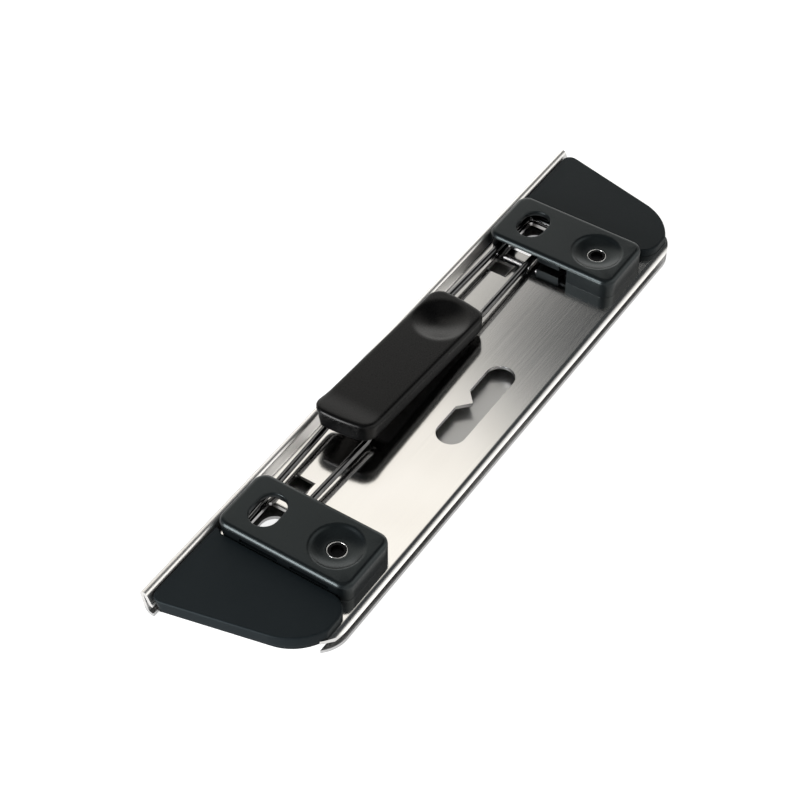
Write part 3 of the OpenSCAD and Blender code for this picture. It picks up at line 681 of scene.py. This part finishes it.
# The end is a slanted line, whose middle lies at CAP_END_X, and a round corner that runs past the front side
CAP_END_X, CAP_TILT, CAP_ARC_R, CAP_ARC_PAST = 60.0, 13.2, 10.5, 1.0
CAP_ARC_Y = CAP_Y0 - CAP_ARC_PAST + CAP_ARC_R
CAP_ARC_X = CAP_END_X + CAP_ARC_Y * math.tan(CAP_TILT * DEG) - CAP_ARC_R / math.cos(CAP_TILT * DEG)
# Wall under the lid, round the end of the sheet
CAP_WALL_Y0, CAP_WALL_TOP = RIM_Y + 0.2, DECK_Z + 0.2
# Hollow of the lid that follows the round corner of the housing
CAP_HOLLOW_GAP, CAP_HOLLOW_END = 0.4, 48


def cap_end_x(inset, y):
    return CAP_END_X + y * math.tan(CAP_TILT * DEG) - inset / math.cos(CAP_TILT * DEG)


def cap_arc(inset, y0):
    """Round corner of a cap, from its slanted end to the line y0."""
    r = CAP_ARC_R - inset
    low = math.degrees(math.asin((y0 - CAP_ARC_Y) / r))
    return arc(CAP_ARC_X, CAP_ARC_Y, r, -CAP_TILT, low, 30)


def cap_end(inset, y0):
    """End and round corner of a cap, from its back side to the line y0."""
    return [(cap_end_x(inset, CAP_Y1), CAP_Y1)] + cap_arc(inset, y0)


def cap_loop(inset, edge, h):
    """Plan of a lid at height h, whose end is drawn in by inset and whose every side is by edge."""
    y0, x0 = CAP_Y0 + edge, CAP_X0 + edge
    # The back side leans out along the lip
    y1 = CAP_Y1 + h / math.tan(LIP_ANGLE * DEG) - edge
    back_r = CAP_BACK_R - edge
    back_y = y1 - back_r
    corner = arc(cap_end_x(inset + edge + back_r, back_y), back_y, back_r, 90, -CAP_TILT, 8)
    near_r = CAP_CORNER - edge
    near = arc(x0 + near_r, y0 + near_r, near_r, 270, 180, 11)
    hollow_x, hollow_y = HOUSE_X1 - HOUSE_CORNER, HOUSE_Y1 - HOUSE_CORNER
    hollow_r = HOUSE_CORNER + CAP_HOLLOW_GAP + edge
    first = math.degrees(math.acos((x0 - hollow_x) / hollow_r))
    hollow = arc(hollow_x, hollow_y, hollow_r, first, CAP_HOLLOW_END, 8)
    return corner + cap_arc(inset + edge, y0) + near + hollow + [(hollow[-1][0], y1)]


def end_cap(side_name, side):
    bm = bmesh.new()
    top = CAP_H - CAP_TOP_R
    levels = [(CAP_FOOT_R, 0), (0, CAP_FOOT_R), (0, top)]
    levels += [(CAP_TOP_R * (1 - math.cos(a)), top + CAP_TOP_R * math.sin(a)) for a in quarter(5, 1)]
    rings = [ring(bm, cap_loop(CAP_BEVEL * h / CAP_H, edge, h), DECK_Z + h) for edge, h in levels]
    bridge_all(bm, rings)
    plate(bm, rings[0])
    plate(bm, rings[-1])
    mirrored(bm, side)
    obj = new_object(f"cap_{side_name}", bm, EDGE_ANGLE)
    outer = cap_end(OVERHANG, CAP_WALL_Y0)
    inner = cap_end(OVERHANG + CAP_WALL, CAP_WALL_Y0 + CAP_WALL)
    cut(obj, [prism("wall", outer + inner[::-1], 0, CAP_WALL_TOP, side)], "UNION")
    soften(obj, CAP_EDGE, 2, EDGE_ANGLE)
    dress(obj, CAP, "base", f"end_cap_{side_name}")


# Grip, drawn in a frame of its own that leans with it

GRIP_X, GRIP_L, GRIP_FRONT_L, GRIP_W, GRIP_H = -2.4, 36.8, 35.5, 11.2, 2.9
GRIP_CORNER, GRIP_LOW_R, GRIP_TOP_R, GRIP_STEP = 2.2, 0.35, 0.75, 0.45
# The ends bow out, from this far from the middle on
GRIP_BOW, BOW_FROM, BOW_OVER = 0.6, 12, 6
# The grip leans to the right, and its lower end stops at GRIP_GAP above the deck
GRIP_TILT = 3.9 * DEG
GRIP_STROKE, GRIP_GAP, GRIP_LOW_X = 1.25, 0.16, 16.6
GRIP_MID = DECK_Z + GRIP_STROKE + GRIP_GAP + GRIP_LOW_X * math.tan(GRIP_TILT)
ON_GRIP = Matrix.Translation((0, BINDER_Y, GRIP_MID)) @ Matrix.Rotation(GRIP_TILT, 4, "Y")
# Raised left end, back side that leans in towards the bottom, and hollow for the thumb
FLARE_L, FLARE_H = 6.0, 0.45
BACK_LEAN, LEAN_FROM, LEAN_OVER = 1.2, 2.5, 3
SCOOP_X, SCOOP_R, SCOOP_DEPTH, SCOOP_STRETCH, SCOOP_CURVE = 9.4, 5.0, 1.25, 1.08, 1.35
SPINE_HALF = 14.5
# Grooves for the bails' legs and hooks, and pocket of the keeper
HOOK_X, HOOK_IN_GRIP, LEG_Y, WIRE_R = 14.2, 1.25, 3.3, 0.6
HOOK_PLAY, GROOVE_HALF, GROOVE_TOP = WIRE_R + 0.4, 0.75, 2.0
GROOVE_ENDS = {-1: 20.3, 1: 40}
POCKET_L, POCKET_W, POCKET_R, POCKET_DEPTH = 25.9, 8.5, 1.0, 0.5


def between(p, q, t):
    return p[0] + (q[0] - p[0]) * t, p[1] + (q[1] - p[1]) * t


def grip_outline(inset):
    """Plan of the grip drawn in by inset, as dense points, counter-clockwise."""
    c, half = GRIP_CORNER, GRIP_W / 2
    # The signs of x and y at each corner, and half the length of its side
    corners = [(1, 1, GRIP_L / 2), (-1, 1, GRIP_L / 2), (-1, -1, GRIP_FRONT_L / 2), (1, -1, GRIP_FRONT_L / 2)]
    pts = []
    for i, (sx, sy, half_l) in enumerate(corners):
        pts += arc(GRIP_X + sx * (half_l - c), sy * (half - c), c - inset, 90 * i, 90 * (i + 1), 7)
    dense = []
    for p, q in zip(pts, pts[1:] + pts[:1]):
        m = max(1, round(math.dist(p, q) / GRIP_STEP))
        dense += [between(p, q, k / m) for k in range(m)]
    bowed = []
    for x, y in dense:
        off = x - GRIP_X
        bow = math.copysign(GRIP_BOW * (1 - (y / half) ** 2), off)
        bowed.append((x + bow * smoothstep((abs(off) - BOW_FROM) / BOW_OVER), y))
    return bowed


def grip_top(x, y):
    """Height of the grip's top, with its raised end and the hollow for the thumb."""
    end = GRIP_X - GRIP_L / 2 - GRIP_BOW
    z = GRIP_H + FLARE_H * smoothstep((end + FLARE_L - x) / FLARE_L)
    r = math.hypot((x - SCOOP_X) / SCOOP_STRETCH, y) / SCOOP_R
    return z - SCOOP_DEPTH * max(0.0, 1 - r * r) ** SCOOP_CURVE


def grip_loop(inset, z_of):
    """Outline of the grip's side drawn in by inset, at the height that z_of gives."""
    pts = []
    for x, y in grip_outline(inset):
        z = z_of(x, y)
        below = 1 - min(1, max(0, z / GRIP_H))
        pts.append((x, y - BACK_LEAN * below * smoothstep((y - LEAN_FROM) / LEAN_OVER), z))
    return pts


def on_grip(cutter):
    """Moves a cutter from the grip's own frame to its place."""
    cutter.data.transform(Matrix.Scale(MM, 4) @ ON_GRIP @ Matrix.Scale(1 / MM, 4))
    return cutter


def grip_cutters():
    cutters = []
    z = (-PAST, GROOVE_TOP)
    for s, groove_end in GROOVE_ENDS.items():
        start = s * (HOOK_X - HOOK_PLAY)
        leg_x = sorted((start, s * groove_end))
        hook_x = sorted((start, s * (HOOK_X + HOOK_PLAY)))
        for y in (-LEG_Y, LEG_Y):
            cutters.append(box("groove", leg_x, (y - GROOVE_HALF, y + GROOVE_HALF), z))
        cutters.append(box("groove", hook_x, (-LEG_Y, LEG_Y), z))
    pocket = rounded_rect(0, 0, POCKET_L, POCKET_W, POCKET_R, 5)
    cutters.append(prism("pocket", pocket, -PAST, POCKET_DEPTH))
    return [on_grip(c) for c in cutters]


def grip():
    low, high = GRIP_LOW_R, GRIP_TOP_R
    loops = []
    for a in quarter(4):
        loops.append(grip_loop(low * (1 - math.sin(a)), lambda x, y: low * (1 - math.cos(a))))
    for t in (0.33, 0.66, 1.0):
        loops.append(grip_loop(0, lambda x, y: low + (grip_top(x, y) - high - low) * t))
    for a in quarter(6, 1):
        d = high * (1 - math.cos(a))
        loops.append(grip_loop(d, lambda x, y: grip_top(x, y) - high * (1 - math.sin(a))))
    # The top runs in rows from its edge to a line along the middle
    edge = grip_outline(high)
    spine = [(min(max(x, GRIP_X - SPINE_HALF), GRIP_X + SPINE_HALF), 0.0) for x, y in edge]
    rows = 13
    for k in range(1, rows):
        pts = [between(p, q, k / rows) for p, q in zip(edge, spine)]
        loops.append([(x, y, grip_top(x, y)) for x, y in pts])
    bm = bmesh.new()
    rings = [ring(bm, pts, 0) for pts in loops]
    bridge_all(bm, rings)
    plate(bm, rings[0])
    plate(bm, rings[-1])
    bmesh.ops.transform(bm, matrix=ON_GRIP, verts=bm.verts)
    obj = new_object("thumb_grip", bm)
    cut(obj, grip_cutters())
    even(obj, EDGE_ANGLE)
    dress(obj, GRIP, "grip_body", "grip")


# Bails

BAR_X, BAR_H, LEG_BEND = HOLE_X + 4.45, 0.7, 1.0
KNEE_X = HOUSE_X0 - 0.8
WIRE_SIDES, WIRE_STEP, WIRE_SHARP = 20, 3, 60
# Where the legs of the left and the right bail turn up to the grip: place, height above the deck, spread
DIP = {-1: (17.8, 1.7, 0.4), 1: (16.8, 1.8, 0.25)}


def hook_h(side):
    """Height of a bail's hook above the deck."""
    in_grip = HOOK_IN_GRIP * math.cos(GRIP_TILT)
    return GRIP_MID - DECK_Z + in_grip - side * HOOK_X * math.tan(GRIP_TILT)


def filleted(keys, d, n=8):
    """Path through key points whose corners are rounded over a length d on each side."""
    path = [keys[0]]
    for a, b, c in zip(keys, keys[1:], keys[2:]):
        p, q = b + (a - b).normalized() * d, b + (c - b).normalized() * d
        path += [p.lerp(b, k / n).lerp(b.lerp(q, k / n), k / n) for k in range(n + 1)]
    return path + [keys[-1]]


def bail_half(side, sy):
    """One leg of a bail, from the middle of its bar to the tip of its hook."""
    knee_h = BAR_H + (BAR_X - KNEE_X) * (hook_h(1) - BAR_H) / (BAR_X - HOOK_X)
    dip_x, dip_h, fan = DIP[side]
    keys = [
        (BAR_X, 0, BAR_H),
        (BAR_X, LEG_Y, BAR_H),
        (KNEE_X, LEG_Y, knee_h),
        (dip_x, LEG_Y + fan, dip_h),
        (HOOK_X, LEG_Y, hook_h(side)),
        (HOOK_X, LEG_Y - 2 * LEG_BEND, hook_h(side)),
    ]
    return filleted([Vector((x, BINDER_Y + sy * y, DECK_Z + h)) for x, y, h in keys], LEG_BEND)


def bail(side_name, side):
    path = bail_half(side, 1)[::-1] + bail_half(side, -1)[1:]
    fine = []
    for p, q in zip(path, path[1:]):
        steps = max(1, round((q - p).length / WIRE_STEP))
        fine += [p.lerp(q, k / steps) for k in range(steps)]
    fine.append(path[-1])
    bm = bmesh.new()
    tube(bm, fine, WIRE_R, WIRE_SIDES)
    mirrored(bm, side)
    obj = new_object(f"wire_bail_{side_name}", bm, WIRE_SHARP)
    dress(obj, WIRE, f"bail_{side_name}_body", f"bail_{side_name}")


# Small turned and wound pieces

BUSH_Z0, BUSH_Z1, BUSH_BORE_R = DECK_Z + 2.4, DECK_Z + 2.85, 1.5
SPRING_TURNS, SPRING_PITCH, SPRING_R, SPRING_Z = 3, 0.76, 0.75, DECK_Z + 1.65
SPRING_WIRE_R, SPRING_SIDES, SPRING_ARM, SPRING_ARM_RISE = 0.1455, 8, 2.0, 0.25


def stem_bush(side_name, side):
    """Bush of the punch's stem, with a round crown."""
    bm = bmesh.new()
    mid_r, crown_r = (BUSH_BORE_R + EYELET_R) / 2, (EYELET_R - BUSH_BORE_R) / 2
    shoulder = BUSH_Z1 - crown_r
    outer = [(EYELET_R, BUSH_Z0), (EYELET_R, shoulder)]
    crown = [(mid_r + crown_r * math.cos(a * DEG), shoulder + crown_r * math.sin(a * DEG))
             for a in range(20, 180, 20)]
    bore = [(BUSH_BORE_R, shoulder), (BUSH_BORE_R, BUSH_Z0)]
    lathe(bm, outer + crown + bore, HOLE_X, PUNCH_Y, BUSH_SIDES)
    mirrored(bm, side)
    obj = new_object(f"eyelet_{side_name}", bm, EDGE_ANGLE)
    dress(obj, EYELET, "base", f"stem_bush_{side_name}")


def return_spring(side_name, side):
    x0 = HOLE_X - SPRING_TURNS * SPRING_PITCH / 2
    steps = 20
    coil = []
    for i in range(SPRING_TURNS * steps + 1):
        a = (-90 + 360 * i / steps) * DEG
        x = x0 + SPRING_PITCH * i / steps
        coil.append((x, ROCKER_Y + SPRING_R * math.cos(a), SPRING_Z + SPRING_R * math.sin(a)))
    first = (x0, ROCKER_Y - SPRING_ARM, coil[0][2] + SPRING_ARM_RISE)
    last = (coil[-1][0], ROCKER_Y + SPRING_ARM, coil[-1][2])
    bm = bmesh.new()
    tube(bm, [first] + coil + [last], SPRING_WIRE_R, SPRING_SIDES)
    mirrored(bm, side)
    obj = new_object(f"coil_{side_name}", bm, WIRE_SHARP)
    dress(obj, SPRING, f"rocker_{side_name}_body", f"return_spring_{side_name}")


folded_sheet()
grip()
for side_key, side_sign in SIDES.items():
    housing(side_key, side_sign)
    end_cap(side_key, side_sign)
    bail(side_key, side_sign)
    stem_bush(side_key, side_sign)
    return_spring(side_key, side_sign)

# CAD nodes that stay as they are
KEPT = {
    "grip_keeper": KEEPER,
    "bail_pin": PIN,
    "rocker_pin": PIN,
    "rocker": LEVER,
    "punch": BORE_SHADE,
    "die_bush": TOOL,
}
for node_name, node_obj in frame["nodes"].items():
    base_name = node_name.rsplit("_", 1)[0] if node_name.endswith(tuple(SIDES)) else node_name
    if base_name in KEPT:
        node_obj.data.materials.clear()
        node_obj.data.materials.append(KEPT[base_name])


# Stage

# Half the width of the floor, and how far it lies below the part
FLOOR_SIZE, FLOOR_DROP = 1500, 0.02
# Glow of the floor, to the camera and in reflections
FLOOR_SEEN, FLOOR_MIRRORED = 0.86, 0.50
# Strength of the studio on the part, and of the white that the camera sees
STUDIO_LEVEL, WHITE_LEVEL = 1.5, 1.0
# The studio's brightness along an axis across it, from one end at -1 to the other at 1
STUDIO_AXIS = (0.809, -0.307, -0.501)
STUDIO_STOPS = [
    (-1.0, 0.25), (-0.8, 0.20), (-0.62, 0.08), (-0.42, 0.10), (-0.25, 0.80), (-0.015, 0.87),
    (0.03, 0.10), (0.065, 0.03), (0.3, 0.03), (0.5, 0.42), (1.0, 0.25),
]
# Bright stops are warm and dark ones cool
WARM, COLD, WARM_FROM = (1, 0.97, 0.91), (0.92, 1, 1.05), 0.3
# Fields of the studio: over which part of a direction's x, y or z each one fades, and their colours
FIELD_X, FIELD_Z, FIELD_DIM_Z = (0.50, 0.57), (-0.05, 0.05), (0.38, 0.6)
FIELD_SLOPE, FIELD_SLANT = 0.6, (-0.066, -0.053)
FIELD_HIGH, FIELD_LOW = (0.48, 0.47, 0.45), (1.4, 1.38, 1.34)
DARK_FRONT_Y, DARK_FRONT_Z, DARK_TOP_Z = (0.05, 0.26), (0.74, 0.84), (0.81, 0.86)
PANEL_Z = (0.91, 0.96)
SWEEP_Y, SWEEP_Z = (-0.65, -0.5), (0.0, 0.1)
DARK, PANEL, SWEEP = (0.03, 0.033, 0.036), (0.20, 0.20, 0.195), (0.72, 0.71, 0.68)


def floor():
    bm = bmesh.new()
    bmesh.ops.create_grid(bm, x_segments=1, y_segments=1, size=FLOOR_SIZE)
    obj = new_object("floor", bm)
    obj.location.z = -FLOOR_DROP * MM
    mat = bpy.data.materials.new("floor")
    mat.use_nodes = True
    nodes, links = mat.node_tree.nodes, mat.node_tree.links
    nodes.clear()
    out = nodes.new("ShaderNodeOutputMaterial")
    diffuse = nodes.new("ShaderNodeBsdfDiffuse")
    diffuse.inputs["Color"].default_value = (0.5, 0.5, 0.5, 1)
    glow = nodes.new("ShaderNodeEmission")
    path = nodes.new("ShaderNodeLightPath")
    seen = maths(nodes, links, "MULTIPLY", path.outputs["Is Camera Ray"], FLOOR_SEEN)
    reflected = maths(nodes, links, "MULTIPLY", path.outputs["Is Glossy Ray"], FLOOR_MIRRORED)
    links.new(maths(nodes, links, "ADD", seen, reflected), glow.inputs["Strength"])
    both = nodes.new("ShaderNodeAddShader")
    links.new(diffuse.outputs[0], both.inputs[0])
    links.new(glow.outputs[0], both.inputs[1])
    links.new(both.outputs[0], out.inputs["Surface"])
    obj.data.materials.append(mat)


def studio_ramp(nodes, links, direction):
    """Colour of the studio along its axis."""
    dot = nodes.new("ShaderNodeVectorMath")
    dot.operation = "DOT_PRODUCT"
    dot.inputs[1].default_value = Vector(STUDIO_AXIS).normalized()
    links.new(direction, dot.inputs[0])
    ramp = nodes.new("ShaderNodeValToRGB")
    elements = ramp.color_ramp.elements
    while len(elements) < len(STUDIO_STOPS):
        elements.new(0.5)
    for element, (u, value) in zip(elements, STUDIO_STOPS):
        hue = WARM if value > WARM_FROM else COLD
        element.position = (u + 1) / 2
        element.color = (*(value * part for part in hue), 1)
    links.new(spread(nodes, links, dot.outputs["Value"], 0, 1, -1, 1), ramp.inputs["Fac"])
    return ramp.outputs["Color"]


def world():
    studio_world = bpy.data.worlds.new("studio")
    scene.world = studio_world
    studio_world.use_nodes = True
    nodes, links = studio_world.node_tree.nodes, studio_world.node_tree.links
    nodes.clear()
    out = nodes.new("ShaderNodeOutputWorld")
    bg = nodes.new("ShaderNodeBackground")
    links.new(bg.outputs[0], out.inputs["Surface"])
    direction = nodes.new("ShaderNodeTexCoord").outputs["Generated"]
    split = nodes.new("ShaderNodeSeparateXYZ")
    links.new(direction, split.inputs[0])
    x, y, z = (split.outputs[axis] for axis in "XYZ")
    studio = studio_ramp(nodes, links, direction)
    # A second bright field, which the deck shows between the legs of the right bail
    slant = maths(nodes, links, "SUBTRACT", y, maths(nodes, links, "MULTIPLY", z, FIELD_SLOPE))
    far = spread(nodes, links, x, 0, 1, *FIELD_X)
    across = maths(nodes, links, "MULTIPLY", far, spread(nodes, links, slant, 0, 1, *FIELD_SLANT))
    field = maths(nodes, links, "MULTIPLY", across, spread(nodes, links, z, 0, 1, *FIELD_Z))
    field_low = spread(nodes, links, z, 1, 0, *FIELD_DIM_Z)
    field_light = tint(nodes, links, field_low, FIELD_HIGH, FIELD_LOW)
    studio = tint(nodes, links, field, studio, field_light)
    # Overhead, and more so towards the front, the studio is dark
    front_high = spread(nodes, links, z, 0, 1, *DARK_FRONT_Z)
    front = maths(nodes, links, "MULTIPLY", front_high, spread(nodes, links, y, 1, 0, *DARK_FRONT_Y))
    overhead = maths(nodes, links, "MAXIMUM", front, spread(nodes, links, z, 0, 1, *DARK_TOP_Z))
    studio = tint(nodes, links, overhead, studio, DARK)
    # Straight above hangs a paler panel, which lights the deck in a view from the top
    panel = spread(nodes, links, z, 0, 1, *PANEL_Z)
    studio = tint(nodes, links, panel, studio, PANEL)
    # Low in front stands a pale sweep, which the lip and the rim show
    sweep_front = spread(nodes, links, y, 1, 0, *SWEEP_Y)
    sweep = maths(nodes, links, "MULTIPLY", sweep_front, spread(nodes, links, z, 0, 1, *SWEEP_Z))
    studio = tint(nodes, links, sweep, studio, SWEEP)
    # The camera itself sees plain white
    to_camera = nodes.new("ShaderNodeLightPath").outputs["Is Camera Ray"]
    links.new(tint(nodes, links, to_camera, studio, (1, 1, 1)), bg.inputs["Color"])
    links.new(spread(nodes, links, to_camera, STUDIO_LEVEL, WHITE_LEVEL, 0, 1), bg.inputs["Strength"])


def lamp(name, place, aim, size, power):
    data = bpy.data.lights.new(name, "AREA")
    data.shape, data.size, data.size_y = "RECTANGLE", size[0], size[1]
    data.energy = power
    obj = bpy.data.objects.new(name, data)
    scene.collection.objects.link(obj)
    obj.location = place
    obj.rotation_mode = "QUATERNION"
    obj.rotation_quaternion = (Vector(aim) - Vector(place)).to_track_quat("-Z", "Y")


def add_camera():
    flat = math.cos(CAM_EL)
    to_camera = Vector((math.sin(CAM_AZ) * flat, -math.cos(CAM_AZ) * flat, math.sin(CAM_EL)))
    data = bpy.data.cameras.new("camera")
    data.lens, data.sensor_width = LENS, SENSOR
    data.clip_start, data.clip_end = 0.01, 20
    cam = bpy.data.objects.new("camera", data)
    scene.collection.objects.link(cam)
    cam.location = CAM_POS
    cam.rotation_mode = "QUATERNION"
    cam.rotation_quaternion = (-to_camera).to_track_quat("-Z", "Y")
    scene.camera = cam


floor()
world()
lamp("left_light", (-0.26, 0.10, 0.085), (-0.04, 0, 0), (0.14, 0.14), 1.0)
lamp("right_light", (0.30, -0.50, 0.30), (0, 0, 0), (0.6, 0.5), 0.5)
add_camera()
scene.view_settings.view_transform = "Standard"
